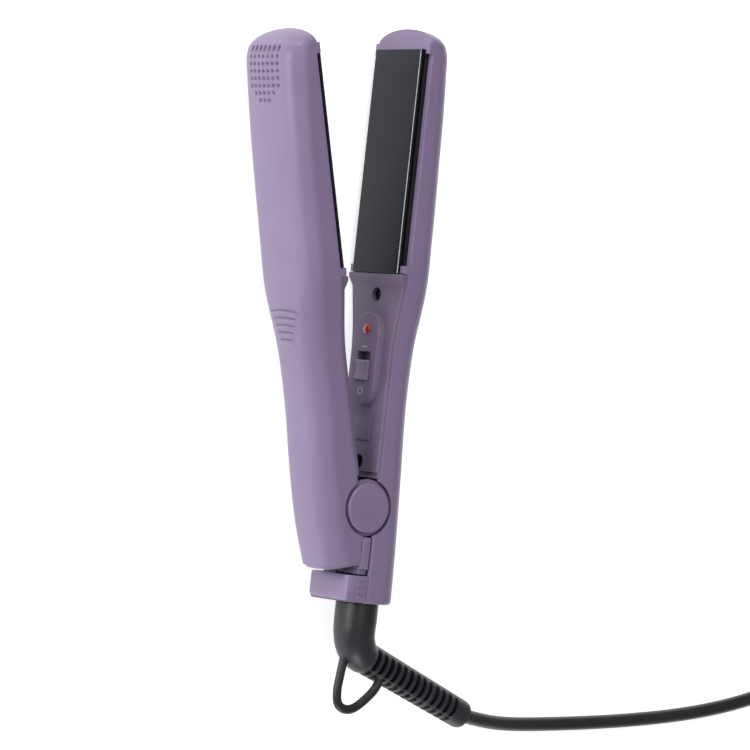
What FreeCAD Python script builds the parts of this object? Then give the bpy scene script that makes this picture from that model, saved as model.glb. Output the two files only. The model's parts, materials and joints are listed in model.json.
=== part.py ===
"""Hair straightener: two hinged arms with floating heated plates, a closing lock,
a sliding power switch and a swivelling mains cord, laid on its side on a table.

Arm frame, used by every piece of an arm: h is the distance outward from the plane
where the two plates meet, l runs along the arm from the hinge to the tip, and w runs
across the arm.  The lever arm mirrors h.  Z points up from the table and the hinge
axis is vertical.
"""
import FreeCAD, Part
import math
import os
import re
import Sketcher

os.makedirs("parts", exist_ok=True)
doc = FreeCAD.newDocument("hair_straightener")
sheet = doc.addObject("Spreadsheet::Sheet", "Sizes")

SIZES = {
    # overall
    "opening": 15.6, "tip_reach": 244.5, "root_tail": 48.4, "lever_tail": 27.0, "hinge_rear": 22.0,
    "jaw_width": 45.0, "handle_width": 33.0, "wall": 2.0, "corner": 8.0,
    # height of the outer face above the meeting plane, along the arm
    "tail_height": 25.2, "lever_tail_height": 25.0, "hinge_height": 25.7,
    "grip_height": 22.8, "waist_height": 23.8, "jaw_height": 23.3, "tip_height": 20.4,
    "grip_middle": 61.0, "waist_start": 88.0, "waist_end": 117.0, "jaw_middle": 150.0,
    "dome_step": 4.0, "dome_width": 27.0, "dome_height": 9.5,
    # planes of the inner side
    "rim_plane": 5.0, "cover_face": 3.0, "lip_face": 0.4, "tip_face": 1.2,
    # heating plate and its carrier
    "plate_start": 119.0, "plate_length": 115.0, "plate_width": 37.5,
    "plate_thickness": 1.8, "plate_face": 0.1, "plate_end_gap": 0.3, "float_travel": 1.0,
    "keel_width": 27.2, "keel_depth": 2.5, "keel_inset": 5.7, "keel_gap": 0.6,
    "heater_width": 18.0, "heater_depth": 3.0, "heater_inset": 16.0,
    "carrier_width": 38.4, "carrier_depth": 10.5, "carrier_floor": 1.5,
    "flange_depth": 1.5, "float_gap": 0.1, "spring_width": 5.0, "spring_inset": 10.5,
    "lip_length": 2.0, "lip_slope": 4.5, "cheek_length": 5.0, "tip_collar": 3.0,
    # inner cover and its screws
    "cover_start": 15.0, "front_screw": 108.3, "rear_screw": 23.0, "screw_recess": 7.4,
    "screw_head": 6.4, "screw_head_depth": 2.0, "screw_shank": 3.2, "screw_length": 5.6,
    "boss_width": 10.4, "boss_depth": 4.0, "post_width": 7.6,
    "lead_width": 1.6, "lead_spacing": 15.0, "recess_depth": 4.4,
    "pad_start": 34.0, "pad_length": 12.0, "pad_width": 14.0,
    "pad_rise": 0.6,
    # power switch and indicator
    "bezel_start": 52.0, "bezel_length": 47.0, "bezel_width": 19.1,
    "slot_start": 64.0, "slot_length": 14.9, "slot_width": 10.6, "knob_length": 10.3,
    "knob_gap": 0.2, "knob_rise": 2.5, "switch_travel": 4.4, "shoe_depth": 1.0,
    "shoe_gap": 0.2, "shoe_overlap": 1.5, "lamp_place": 90.2, "lamp_width": 5.0,
    "lamp_rise": 0.8, "board_start": 28.0, "board_length": 76.0, "board_width": 25.0,
    "board_face": 9.5, "board_thickness": 1.6, "standoff_inset": 4.0,
    "standoff_width": 4.0, "standoff_spacing": 18.0, "switch_body_length": 28.0,
    "switch_body_width": 14.0, "switch_body_gap": 0.3, "power_block": 18.0,
    # hinge
    "pin_width": 5.0, "pin_gap": 0.05, "pin_half": 14.0, "ear_radius": 8.0,
    "ear_outer": 13.0, "ear_step": 3.3, "ear_thickness": 2.7, "bracket_length": 14.0,
    "bracket_face": 15.0, "bracket_plate": 2.0, "pedestal_width": 16.0,
    "disc_width": 25.3, "disc_groove": 2.0, "disc_inner": 14.3, "disc_thickness": 3.0,
    "hub_width": 12.0, "coil_width": 13.6, "coil_wire": 2.0, "coil_half": 6.3,
    # tail, stop and lock
    "strip_rise": 1.2, "strip_step": 31.2, "strip_gap": 0.2, "stop_gap": 0.3,
    "strip_wall": 2.0, "bolt_rib": 2.0, "bolt_rib_width": 12.0, "lock_top": 34.5,
    "lock_length": 11.8, "lock_face": 8.2, "lock_wall": 2.0, "lock_side": 1.2, "lock_rim_gap": 0.2,
    "tongue_rise": 3.4, "tongue_width": 10.0, "tongue_thickness": 1.6,
    "tongue_setback": 0.2, "lock_floor": 1.5,
    # cord swivel, elbow, strain relief and hanging loop
    "swivel_height": 12.1, "journal_width": 9.0, "journal_gap": 0.08,
    "retainer_width": 11.6, "retainer_thickness": 2.0, "retainer_gap": 0.2,
    "neck_width": 22.0, "neck_gap": 0.5, "neck_length": 14.0, "knuckle_width": 20.0,
    "elbow_drop": 12.0, "relief_side": 68.0, "relief_back": -36.0, "relief_down": -7.5,
    "relief_offset": 10.0,
    "relief_width": 15.7, "relief_core": 11.4, "relief_rings": 13, "ring_width": 2.6,
    "relief_length": 74.0, "loop_thickness": 4.0,
    # cord, coil and plug
    "cord_width": 7.5, "cord_gap": 1.0, "coil_radius": 37.5, "coil_layers": 3,
    "coil_rows": 2, "coil_base": 1.3, "tie_width": 8.0, "tie_thickness": 1.0,
    "plug_width": 24.0, "plug_depth": 17.0, "plug_length": 34.0, "blade_width": 6.3,
    "blade_thickness": 1.5, "blade_length": 17.0, "blade_spacing": 12.7,
}
for row, (alias, size) in enumerate(SIZES.items(), 1):
    sheet.set(f"A{row}", alias)
    sheet.set(f"B{row}", str(size))
    sheet.setAlias(f"B{row}", alias)
doc.recompute()

UP = FreeCAD.Vector(0, 0, 1)


def bound(text):
    """The expression with every size name pointed at the sheet."""
    names = r"[a-z]+(?:_[a-z]+)*"
    return re.sub(names, lambda word: f"Sizes.{word[0]}" if word[0] in SIZES else word[0], str(text))


def number(text):
    """The value of an expression in millimetres or degrees."""
    return float(sheet.evalExpression(bound(text)))


PARTS = []


def keep(made, label):
    """Name a finished sub-part and list it for export."""
    made.Label = label
    PARTS.append(made)
    return made


class Piece:
    """One sub-part, a body drawn in its arm's frame."""

    def __init__(self, label, side=1):
        self.body = keep(doc.addObject("PartDesign::Body", label), label)
        self.side = side
        turn = -side * number("opening / 2")
        self.body.Placement = FreeCAD.Placement(FreeCAD.Vector(), FreeCAD.Rotation(UP, turn))

    def sketch(self, role, offset, outline):
        """A closed outline of points, or circles (place, place, radius), on a plane."""
        drawn = self.body.newObject("Sketcher::SketchObject", f"{self.body.Label}_outline")
        plane = next(f for f in self.body.Origin.OriginFeatures if f.Role == role)
        drawn.AttachmentSupport = (plane, "")
        drawn.MapMode = "FlatFace"
        drawn.setExpression(".AttachmentOffset.Base.z", bound(offset))
        if len(outline[0]) == 3:
            self.draw_circles(drawn, outline)
        else:
            self.draw_lines(drawn, outline)
        return drawn

    def draw_lines(self, drawn, outline):
        places = [FreeCAD.Vector(number(x), number(y), 0) for x, y in outline]
        for start, end in zip(places, places[1:] + places[:1]):
            drawn.addGeometry(Part.LineSegment(start, end), False)
        for line in range(len(places)):
            following = (line + 1) % len(places)
            drawn.addConstraint(Sketcher.Constraint("Coincident", line, 2, following, 1))
        for line, (x, y) in enumerate(outline):
            self.hold(drawn, "DistanceX", line, 1, x, places[line].x)
            self.hold(drawn, "DistanceY", line, 1, y, places[line].y)

    def draw_circles(self, drawn, outline):
        for circle, (x, y, radius) in enumerate(outline):
            centre = FreeCAD.Vector(number(x), number(y), 0)
            drawn.addGeometry(Part.Circle(centre, FreeCAD.Vector(0, 0, 1), number(radius)), False)
            self.hold(drawn, "DistanceX", circle, 3, x, centre.x)
            self.hold(drawn, "DistanceY", circle, 3, y, centre.y)
            rule = drawn.addConstraint(Sketcher.Constraint("Radius", circle, number(radius)))
            drawn.setExpression(f"Constraints[{rule}]", bound(radius))

    def hold(self, drawn, kind, line, end, text, value):
        rule = drawn.addConstraint(Sketcher.Constraint(kind, -1, 1, line, end, value))
        drawn.setExpression(f"Constraints[{rule}]", bound(text))

    def feature(self, drawn, length, cut):
        kind = "PartDesign::Pocket" if cut else "PartDesign::Pad"
        made = self.body.newObject(kind, f"{self.body.Label}_{'cut' if cut else 'pad'}")
        made.Profile = drawn
        made.setExpression("Length", bound(length))
        return made

    def mirrored(self, outline):
        """The outline with its h places turned to the arm's own side."""
        if self.side == -1:
            return [(f"-({point[0]})", *point[1:]) for point in outline]
        return outline

    def across(self, outline, low, high, cut=False):
        """An outline in (h, l) that runs through the width from low to high."""
        drawn = self.sketch("XY_Plane", high if cut else low, self.mirrored(outline))
        self.feature(drawn, f"({high}) - ({low})", cut)
        return self

    def both_sides(self, outline, low, high, cut=False):
        """The same outline on the near and the far side of the arm."""
        self.across(outline, low, high, cut)
        self.across(outline, f"-({high})", f"-({low})", cut)
        return self

    def outward(self, outline, low, high, cut=False):
        """An outline in (l, w) that rises outward from h = low to h = high."""
        if self.side == 1:
            plane = high if cut else low
        else:
            plane = f"-({low})" if cut else f"-({high})"
        drawn = self.sketch("YZ_Plane", plane, outline)
        self.feature(drawn, f"({high}) - ({low})", cut)
        return self

    def along(self, outline, low, high, cut=False):
        """An outline in (h, w) that runs along the arm from l = low to l = high."""
        plane = f"-({low})" if cut else f"-({high})"
        drawn = self.sketch("XZ_Plane", plane, self.mirrored(outline))
        self.feature(drawn, f"({high}) - ({low})", cut)
        return self

    def loft(self, stations, cut=False):
        """A straight-sided loft through sections (l, outline in h and w)."""
        drawn = [self.sketch("XZ_Plane", f"-({place})", self.mirrored(outline))
                 for place, outline in stations]
        kind = "PartDesign::SubtractiveLoft" if cut else "PartDesign::AdditiveLoft"
        made = self.body.newObject(kind, f"{self.body.Label}_loft")
        made.Profile = drawn[0]
        made.Sections = drawn[1:]
        made.Ruled = True
        return self


def rectangle(low_x, low_y, high_x, high_y):
    return [(low_x, low_y), (high_x, low_y), (high_x, high_y), (low_x, high_y)]


def centred(low, high, width):
    """A rectangle from low to high that is width wide about the middle."""
    return rectangle(low, f"-({width}) / 2", high, f"({width}) / 2")


def primitive(kind, place, way=UP, **sizes):
    """A primitive bound to the sheet, standing at a place and pointing a way."""
    made = doc.addObject(f"Part::{kind}", kind.lower())
    for name, text in sizes.items():
        made.setExpression(name, bound(text))
    made.Placement = FreeCAD.Placement(place, FreeCAD.Rotation(UP, way))
    return made


def fused(shapes):
    made = doc.addObject("Part::MultiFuse", "fused")
    made.Shapes = shapes
    return made


def cut_by(base, tool):
    made = doc.addObject("Part::Cut", "cut")
    made.Base = base
    made.Tool = tool
    return made


def arm_place(outward, along, across="0", side=1):
    """Place of a point of an arm, about the hinge axis."""
    turn = math.radians(number("opening / 2"))
    outward, along = number(outward), number(along)
    return FreeCAD.Vector(side * (outward * math.cos(turn) + along * math.sin(turn)),
                          along * math.cos(turn) - outward * math.sin(turn), number(across))


def soft_part(label, shape):
    made = keep(doc.addObject("Part::Feature", label), label)
    made.Shape = shape
    return made


# ---------------------------------------------------------------- arms: outer shells

PLATE_END = "plate_start + plate_length"
DOME_START = f"{PLATE_END} + tip_collar"
CLEAR_RADIUS = "disc_width / 2 + disc_groove"
STRIP_TOP = f"{CLEAR_RADIUS} + strip_gap"
HINGE_REAR = "-hinge_rear"
HINGE_FRONT = "cover_start - 1"


def arch(rim, height, width, corner):
    """A section with an open rim, straight sides and bevelled outer corners."""
    side = [(rim, f"({width}) / 2"), (f"({height}) - ({corner})", f"({width}) / 2"),
            (f"({height}) - 0.29 * ({corner})", f"({width}) / 2 - 0.29 * ({corner})"),
            (height, f"({width}) / 2 - ({corner})")]
    return side + [(x, f"-({y})") for x, y in reversed(side)]


def stop_line(distance):
    """Height of the lever's tail edge, which meets the root arm's strip when open."""
    reach = "(strip_rise + stop_gap)"
    return f"{reach} / cos(opening * 1deg) + ({distance}) * tan(opening * 1deg)"


def shell_stations(side):
    """Place along the arm, rim, height and width of each section of the shell."""
    tail = [("-root_tail", "rim_plane", "tail_height", "handle_width"),
            (HINGE_REAR, "rim_plane", "hinge_height", "handle_width")]
    if side == -1:
        tail = [("-lever_tail", stop_line("lever_tail"), "lever_tail_height", "handle_width"),
                (f"-({CLEAR_RADIUS})", stop_line(CLEAR_RADIUS), "hinge_height", "handle_width")]
    return tail + [
        (HINGE_FRONT, "rim_plane", "hinge_height", "handle_width"),
        ("grip_middle", "rim_plane", "grip_height", "handle_width"),
        ("waist_start", "rim_plane", "(grip_height + waist_height) / 2", "handle_width"),
        ("waist_end", "rim_plane", "waist_height", "jaw_width"),
        ("jaw_middle", "rim_plane", "jaw_height", "jaw_width"),
        (DOME_START, "rim_plane", "tip_height", "jaw_width"),
        (f"{DOME_START} + dome_step", "rim_plane", "(tip_height * 2 + dome_height) / 3",
         "(jaw_width * 2 + dome_width) / 3"),
        ("tip_reach", "rim_plane", "dome_height", "dome_width")]


def back_shell(label, side):
    shell = Piece(label, side)
    stations = shell_stations(side)
    shell.loft([(place, arch(rim, height, width, "corner / 2" if place == "tip_reach" else "corner"))
                for place, rim, height, width in stations])
    tip = [(DOME_START, "-jaw_width / 2"), (f"{DOME_START} + dome_step", "-(jaw_width * 2 + dome_width) / 6"),
           ("tip_reach", "-dome_width / 2"), ("tip_reach", "dome_width / 2"),
           (f"{DOME_START} + dome_step", "(jaw_width * 2 + dome_width) / 6"), (DOME_START, "jaw_width / 2")]
    shell.outward(tip, "tip_face", "rim_plane")
    shell.across(rectangle("lip_face", PLATE_END, "rim_plane", DOME_START), "-jaw_width / 2", "jaw_width / 2")
    shell.both_sides(rectangle("lip_face", f"{PLATE_END} - cheek_length", "rim_plane", PLATE_END),
                     "carrier_width / 2 + strip_gap", "jaw_width / 2")
    inside = [(place, f"{rim} - 1", f"({height}) - wall", f"({width}) - 2 * wall")
              for place, rim, height, width in stations[1:7]]
    first = ("-root_tail + wall", "rim_plane - 1", "tail_height - wall", "handle_width - 2 * wall")
    if side == -1:
        first = ("-lever_tail - 1", f"{stop_line('lever_tail + 1')} - 1", "lever_tail_height - wall",
                 "handle_width - 2 * wall")
    last = (PLATE_END, "rim_plane - 1", "tip_height - wall", "jaw_width - 2 * wall")
    shell.loft([(place, arch(rim, height, width, "corner - wall"))
                for place, rim, height, width in [first] + inside + [last]], cut=True)
    shell.both_sides([("0", "0", CLEAR_RADIUS)], "handle_width / 2 - wall - 0.5", "handle_width / 2 + 1", cut=True)
    for place, height in (("front_screw", "waist_height"), ("rear_screw", "hinge_height")):
        shell.outward([(place, "0", "post_width / 2")], "rim_plane + boss_depth", f"{height} - wall")
        shell.outward([(place, "0", "screw_shank / 2")], "rim_plane + boss_depth - 1",
                      "rim_plane + recess_depth - wall + screw_length + 1", cut=True)
    if side == 1:
        shell.along([("swivel_height", "0", "journal_width / 2 + journal_gap")],
                    "-root_tail - 1", "-root_tail + wall + 1", cut=True)
    return shell


def inner_cover(label, side):
    """The handle's inner side, with the raised lip that ends the heated jaw."""
    cover = Piece(label, side)
    profile = [("rim_plane", "cover_start"), ("cover_face", "cover_start"),
               ("cover_face", "plate_start - lip_length - lip_slope"),
               ("lip_face", "plate_start - lip_length"), ("lip_face", "plate_start"),
               ("rim_plane", "plate_start")]
    cover.across(profile, "-jaw_width / 2", "jaw_width / 2")
    cover.both_sides(rectangle("lip_face", "plate_start", "rim_plane", "plate_start + cheek_length"),
                     "carrier_width / 2 + strip_gap", "jaw_width / 2")
    flare = [("cover_start - 1", "handle_width / 2"), ("waist_start", "handle_width / 2"),
             ("waist_end", "jaw_width / 2"), ("waist_end", "jaw_width / 2 + 1"),
             ("cover_start - 1", "jaw_width / 2 + 1")]
    cover.outward(flare, "0", "rim_plane + 1", cut=True)
    cover.outward([(l, f"-({w})") for l, w in flare], "0", "rim_plane + 1", cut=True)
    for place in ("front_screw", "rear_screw"):
        cover.outward([(place, "0", "boss_width / 2")], "rim_plane", "rim_plane + boss_depth")
        cover.outward([(place, "0", "screw_recess / 2")], "0", "cover_face + recess_depth", cut=True)
        cover.outward([(place, "0", "screw_shank / 2")], "0", "rim_plane + boss_depth + 1", cut=True)
    if side == 1:
        cover.outward(centred("pad_start", "pad_start + pad_length", "pad_width"),
                      "cover_face - pad_rise", "cover_face")
        for place in ("board_start + standoff_inset", "board_start + board_length - standoff_inset"):
            cover.outward([(place, f"{sign}standoff_spacing / 2", "standoff_width / 2")
                           for sign in ("", "-")], "rim_plane", "board_face")
        cover.outward(centred("slot_start", "slot_start + slot_length", "slot_width"),
                      "0", "rim_plane + 1", cut=True)
        cover.outward([("lamp_place", "0", "lamp_width / 2")], "0", "rim_plane + 1", cut=True)
    return cover


def cover_screws(label, side):
    screws = Piece(label, side)
    seat = "cover_face + recess_depth"
    places = ("front_screw", "rear_screw")
    screws.outward([(place, "0", "screw_head / 2") for place in places], f"{seat} - screw_head_depth", seat)
    screws.outward([(place, "0", "screw_shank / 2") for place in places], seat, f"{seat} + screw_length - wall")
    return screws


# ---------------------------------------------------------------- arms: heated jaw

PLATE_BACK = "plate_face + plate_thickness"
CARRIER_TOP = f"{PLATE_BACK} + float_travel + float_gap"
KEEL_BACK = f"{PLATE_BACK} + keel_depth"


def plate_carrier(label, side):
    carrier = Piece(label, side)
    start, end = "plate_start", PLATE_END
    carrier.outward(centred(start, end, "carrier_width"), CARRIER_TOP, "carrier_depth")
    carrier.outward(centred(start, end, "jaw_width - 2 * wall"), "rim_plane + 1", "rim_plane + 1 + flange_depth")
    inset = "keel_inset - keel_gap"
    carrier.outward(centred(f"{start} + {inset}", f"{end} - ({inset})", "keel_width + 2 * keel_gap"),
                    f"{CARRIER_TOP} - 1", "carrier_depth - carrier_floor", cut=True)
    for sign in ("", "-"):
        notch = rectangle(f"{start} - 1", f"{sign}lead_spacing / 2 - lead_width",
                          f"{start} + keel_inset", f"{sign}lead_spacing / 2 + lead_width")
        carrier.outward(notch, f"{CARRIER_TOP} - 1", "carrier_depth + 1", cut=True)
    return carrier


def heating_plate(label, side):
    plate = Piece(label, side)
    plate.outward(centred("plate_start + plate_end_gap", f"{PLATE_END} - plate_end_gap", "plate_width"),
                  "plate_face", PLATE_BACK)
    plate.outward(centred("plate_start + keel_inset", f"{PLATE_END} - keel_inset", "keel_width"),
                  PLATE_BACK, KEEL_BACK)
    return plate


def heater(label, side):
    """The flat ceramic heater clamped to the back of a plate."""
    element = Piece(label, side)
    element.outward(centred("plate_start + heater_inset", f"{PLATE_END} - heater_inset", "heater_width"),
                    KEEL_BACK, f"{KEEL_BACK} + heater_depth")
    return element


def float_springs(label, side):
    springs = Piece(label, side)
    springs.outward([(place, "0", "spring_width / 2") for place in
                     ("plate_start + spring_inset", f"{PLATE_END} - spring_inset")],
                    KEEL_BACK, "carrier_depth - carrier_floor")
    return springs


def heater_leads(label, side, near_height, near_place):
    """Two insulated wires that end just short of the heater."""
    wires = []
    for sign in ("", "-"):
        over = f"{sign}lead_spacing / 2"
        near = arm_place(near_height, near_place, over, side)
        far = arm_place(f"{KEEL_BACK} + heater_depth - lead_width / 2", "plate_start + heater_inset - lead_width", over, side)
        wires.append(primitive("Cylinder", near, far - near, Radius="lead_width / 2"))
        wires[-1].Height = (far - near).Length
    keep(fused(wires), label)


for name, side in (("main", 1), ("lever", -1)):
    back_shell(f"{name}_back_shell", side)
    inner_cover(f"{name}_inner_cover", side)
    cover_screws(f"{name}_cover_screws", side)
    plate_carrier(f"{name}_plate_carrier", side)
    heating_plate(f"{name}_heating_plate", side)
    heater(f"{name}_heater", side)
    float_springs(f"{name}_float_springs", side)


# ---------------------------------------------------------------- switch and board

def oval(piece, low, high):
    """The raised oval that carries the switch, as a bar with two round ends."""
    radius = "bezel_width / 2"
    piece.outward(centred(f"bezel_start + {radius}", f"bezel_start + bezel_length - {radius}",
                          "bezel_width"), low, high)
    piece.outward([(f"bezel_start + {radius}", "0", radius)], low, high)
    piece.outward([(f"bezel_start + bezel_length - {radius}", "0", radius)], low, high)


bezel = Piece("switch_bezel")
oval(bezel, "lip_face", "cover_face")
bezel.outward(centred("slot_start", "slot_start + slot_length", "slot_width"),
              "lip_face - 1", "cover_face + 1", cut=True)
bezel.outward([("lamp_place", "0", "lamp_width / 2")], "lip_face - 1", "cover_face + 1", cut=True)

SHOE_TOP = "rim_plane + shoe_gap"
KNOB_START = "slot_start + knob_gap"
KNOB_END = f"{KNOB_START} + knob_length"
knob = Piece("switch_knob")
knob.outward(centred(KNOB_START, KNOB_END, "slot_width - 2 * knob_gap"), "lip_face - knob_rise", SHOE_TOP)
knob.outward(centred(f"{KNOB_START} - shoe_overlap", f"{KNOB_END} + shoe_overlap", "slot_width + 2 * shoe_overlap"),
             SHOE_TOP, f"{SHOE_TOP} + shoe_depth")

lens = Piece("indicator_lens")
lens.outward([("lamp_place", "0", "lamp_width / 2")], "lip_face - lamp_rise", "rim_plane")

BOARD_BACK = "board_face + board_thickness"
board = Piece("circuit_board")
board.outward(centred("board_start", "board_start + board_length", "board_width"), "board_face", BOARD_BACK)
board.outward([("lamp_place", "0", "lamp_width / 2")], "rim_plane", "board_face")
board.outward(centred("pad_start", "pad_start + power_block", "power_block"),
              "rim_plane + wall", "board_face")

switch_body = Piece("switch_body")
switch_body.outward(centred("slot_start - knob_length / 2", "slot_start - knob_length / 2 + switch_body_length",
                            "switch_body_width"),
                    f"{SHOE_TOP} + shoe_depth + switch_body_gap", "board_face")


# ---------------------------------------------------------------- hinge

def hinge_bracket(label, side, outer, bore):
    """Two ears round the pin, on a plate and a pedestal against the shell."""
    bracket = Piece(label, side)
    inner = f"({outer}) - ear_thickness"
    stem = [("0", "-bracket_length / 2"), ("bracket_face", "-bracket_length / 2"),
            ("bracket_face", "bracket_length / 2"), ("0", "bracket_length / 2")]
    bracket.outward(centred("-bracket_length / 2", "bracket_length / 2", f"2 * ({outer})"),
                    "bracket_face - bracket_plate", "bracket_face")
    bracket.outward(centred("-bracket_length / 2", "bracket_length / 2", "pedestal_width"),
                    "bracket_face", "hinge_height - wall")
    bracket.both_sides(stem, inner, outer)
    bracket.both_sides([("0", "0", "ear_radius")], inner, outer)
    bracket.both_sides([("0", "0", bore)], inner, outer, cut=True)
    return bracket


heater_leads("main_heater_leads", 1, "board_face + board_thickness / 2",
             "board_start + board_length + lead_width")
heater_leads("lever_heater_leads", -1, "board_face + board_thickness", "cover_start + lead_width")
hinge_bracket("main_hinge_bracket", 1, "ear_outer", "pin_width / 2")
hinge_bracket("lever_hinge_bracket", -1, "ear_outer - ear_step", "pin_width / 2 + pin_gap")

pin = Piece("hinge_pin")
pin.across([("0", "0", "pin_width / 2")], "-pin_half", "pin_half")

for label, sign in (("near_hinge_disc", ""), ("far_hinge_disc", "-")):
    disc = Piece(label)
    layers = [("disc_width / 2", "disc_inner", "disc_inner + disc_thickness"),
              ("hub_width / 2", "ear_outer", "disc_inner")]
    for radius, low, high in layers:
        low, high = (low, high) if sign == "" else (f"-({high})", f"-({low})")
        disc.across([("0", "0", radius)], low, high)
    bore_low, bore_high = ("ear_outer - 1", "pin_half") if sign == "" else ("-pin_half", "-(ear_outer - 1)")
    disc.across([("0", "0", "pin_width / 2")], bore_low, bore_high, cut=True)

spring = Piece("torsion_spring")
spring.across([("0", "0", "coil_width / 2")], "-coil_half", "coil_half")
spring.across([("0", "0", "coil_width / 2 - coil_wire")], "-coil_half - 1", "coil_half + 1", cut=True)
leg = rectangle("(coil_width - coil_wire) / 2", "-coil_wire / 2",
                "bracket_face - bracket_plate", "coil_wire / 2")
spring.across(leg, "coil_half - coil_wire", "coil_half")
spring.across([(f"-({x})", y) for x, y in leg], "-coil_half", "-coil_half + coil_wire")


# ---------------------------------------------------------------- tail, stop and lock

strip = Piece("main_tail_cover")
strip.across(rectangle("-strip_rise", "-strip_step", "rim_plane", f"-({STRIP_TOP})"),
             "-handle_width / 2", "handle_width / 2")
INNER_HALF = "handle_width / 2 - lock_side - strip_gap"
strip.across(rectangle("-strip_rise", "-root_tail", "rim_plane", "-strip_step"),
             f"-({INNER_HALF})", INNER_HALF)
strip.across(rectangle("-strip_rise + strip_wall", "-root_tail + strip_wall", "rim_plane + 1",
                       f"-({STRIP_TOP}) - strip_wall"),
             f"-({INNER_HALF}) + strip_wall", f"{INNER_HALF} - strip_wall", cut=True)

lever_tail = Piece("lever_tail_cover", -1)
TAIL_HALF = "handle_width / 2 - wall"
edge_low, edge_high = stop_line("lever_tail"), stop_line(STRIP_TOP)
lever_tail.across([(edge_low, "-lever_tail"), (edge_high, f"-({STRIP_TOP})"),
                   (f"{edge_high} + wall", f"-({STRIP_TOP})"), (f"{edge_low} + wall", "-lever_tail")],
                  f"-({TAIL_HALF})", TAIL_HALF)
rib_face = stop_line("lever_tail + bolt_rib")
lever_tail.across(rectangle(rib_face, "-lever_tail - bolt_rib", f"{rib_face} + wall", "-lever_tail"),
                  "-bolt_rib_width / 2", "bolt_rib_width / 2")

lock = Piece("lock_slider")
LOCK_END = "-lock_top - lock_length"
lock.across(rectangle("-lock_face", LOCK_END, "-lock_face + lock_wall", "-lock_top"),
            "-handle_width / 2", "handle_width / 2")
lock.both_sides(rectangle("-lock_face", LOCK_END, "rim_plane - lock_rim_gap", "-lock_top"),
                "handle_width / 2 - lock_side", "handle_width / 2")
lock.across(rectangle("-lock_face", LOCK_END, "-strip_rise - strip_gap", f"{LOCK_END} + lock_floor"),
            "-handle_width / 2", "handle_width / 2")
TONGUE_FACE = "-lock_face + tongue_setback"
lock.across(rectangle(TONGUE_FACE, "-lock_top", f"{TONGUE_FACE} + tongue_thickness", "-lock_top + tongue_rise"),
            "-tongue_width / 2", "tongue_width / 2")


# ---------------------------------------------------------------- swivel and strain relief

def table_place(x, y, height):
    """A point given by its place beside the hinge axis and its height off the table."""
    return FreeCAD.Vector(x, y, height - number("jaw_width / 2"))


RETAINER_START = "-root_tail + wall + retainer_gap"
RETAINER_END = f"{RETAINER_START} + retainer_thickness"
NECK_START = "-root_tail - neck_gap"
retainer = Piece("swivel_retainer")
retainer.along([("swivel_height", "0", "retainer_width / 2")], RETAINER_START, RETAINER_END)
retainer.along([("swivel_height", "0", "journal_width / 2")],
               f"{RETAINER_START} - 1", f"{RETAINER_END} + 1", cut=True)

neck = Piece("swivel_neck")
neck.along([("swivel_height", "0", "journal_width / 2")], NECK_START, f"{RETAINER_END} + 1")
neck.along([("swivel_height", "0", "neck_width / 2")], f"{NECK_START} - neck_length", NECK_START)

elbow_start = arm_place("swivel_height", f"{NECK_START} - neck_length")
elbow_turn = arm_place("swivel_height", f"{NECK_START} - neck_length - elbow_drop")
relief_way = FreeCAD.Vector(number("relief_side"), number("relief_back"), number("relief_down")).normalize()
relief_start = elbow_turn + relief_way * number("relief_offset")


def relief_place(distance):
    """A point of the strain relief's middle line, from the start of its rings."""
    return relief_start + relief_way * distance


def strain_relief():
    """The rubber elbow and its ringed sleeve."""
    moulding = [primitive("Cylinder", elbow_turn, elbow_start - elbow_turn, Radius="knuckle_width / 2",
                          Height="elbow_drop"),
                primitive("Sphere", elbow_turn, Radius="knuckle_width / 2"),
                primitive("Cone", elbow_turn, relief_way, Radius1="knuckle_width / 2",
                          Radius2="relief_width / 2", Height="relief_offset"),
                primitive("Cylinder", relief_start, relief_way, Radius="relief_core / 2",
                          Height="relief_length")]
    rings = int(number("relief_rings"))
    pitch = number("relief_length - ring_width") / (rings - 1)
    for ring in range(rings):
        moulding.append(primitive("Cylinder", relief_place(ring * pitch), relief_way,
                                  Radius="relief_width / 2", Height="ring_width"))
    return fused(moulding)


sleeve = keep(strain_relief(), "strain_relief")

# outline of the loop's strap, outside then inside, beside the hinge axis
LOOP_OUTSIDE = [(-5.9, -72.0), (-9.3, -97.3), (-6.8, -102.1), (0.2, -105.8), (6.6, -105.3), (22.0, -93.0),
                (18.0, -84.0), (4.0, -74.0)]
LOOP_INSIDE = [(0.6, -85.0), (-2.6, -97.8), (-1.2, -100.6), (3.8, -101.0), (13.6, -94.6), (14.1, -91.6)]


def hanging_loop():
    """The strap that joins the elbow's underside to the sleeve."""
    strap = [[FreeCAD.Vector(x, y, -number("loop_thickness") / 2) for x, y in outline]
             for outline in (LOOP_OUTSIDE, LOOP_INSIDE)]
    faces = [Part.Face(Part.makePolygon(outline + outline[:1])) for outline in strap]
    doc.recompute()
    solid = faces[0].cut(faces[1]).extrude(FreeCAD.Vector(0, 0, number("loop_thickness")))
    soft_part("hanging_loop", solid.cut(sleeve.Shape))


hanging_loop()


# ---------------------------------------------------------------- cord, coil and plug

# middle line of the loose cord: place beside the hinge axis and height off the table
CORD_POINTS = [(98.0, -120.6, 10.2), (119.0, -124.4, 6.6), (143.0, -126.6, 5.2), (170.0, -128.4, 5.05),
               (200.0, -129.8, 5.05), (231.0, -130.3, 5.05), (261.0, -129.4, 5.05), (290.0, -126.4, 5.05),
               (318.0, -121.0, 5.05), (345.0, -117.4, 5.05)]
TAIL_POINTS = [(397.0, -84.0, 12.55), (396.9, -62.0, 12.3), (395.8, -46.0, 10.6), (395.0, -33.0, 9.0),
               (395.0, -20.0, 9.0)]
COIL_CENTRE = (352.0, -72.0)
PLUG_PLACE = (395.0, -20.0)


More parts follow.
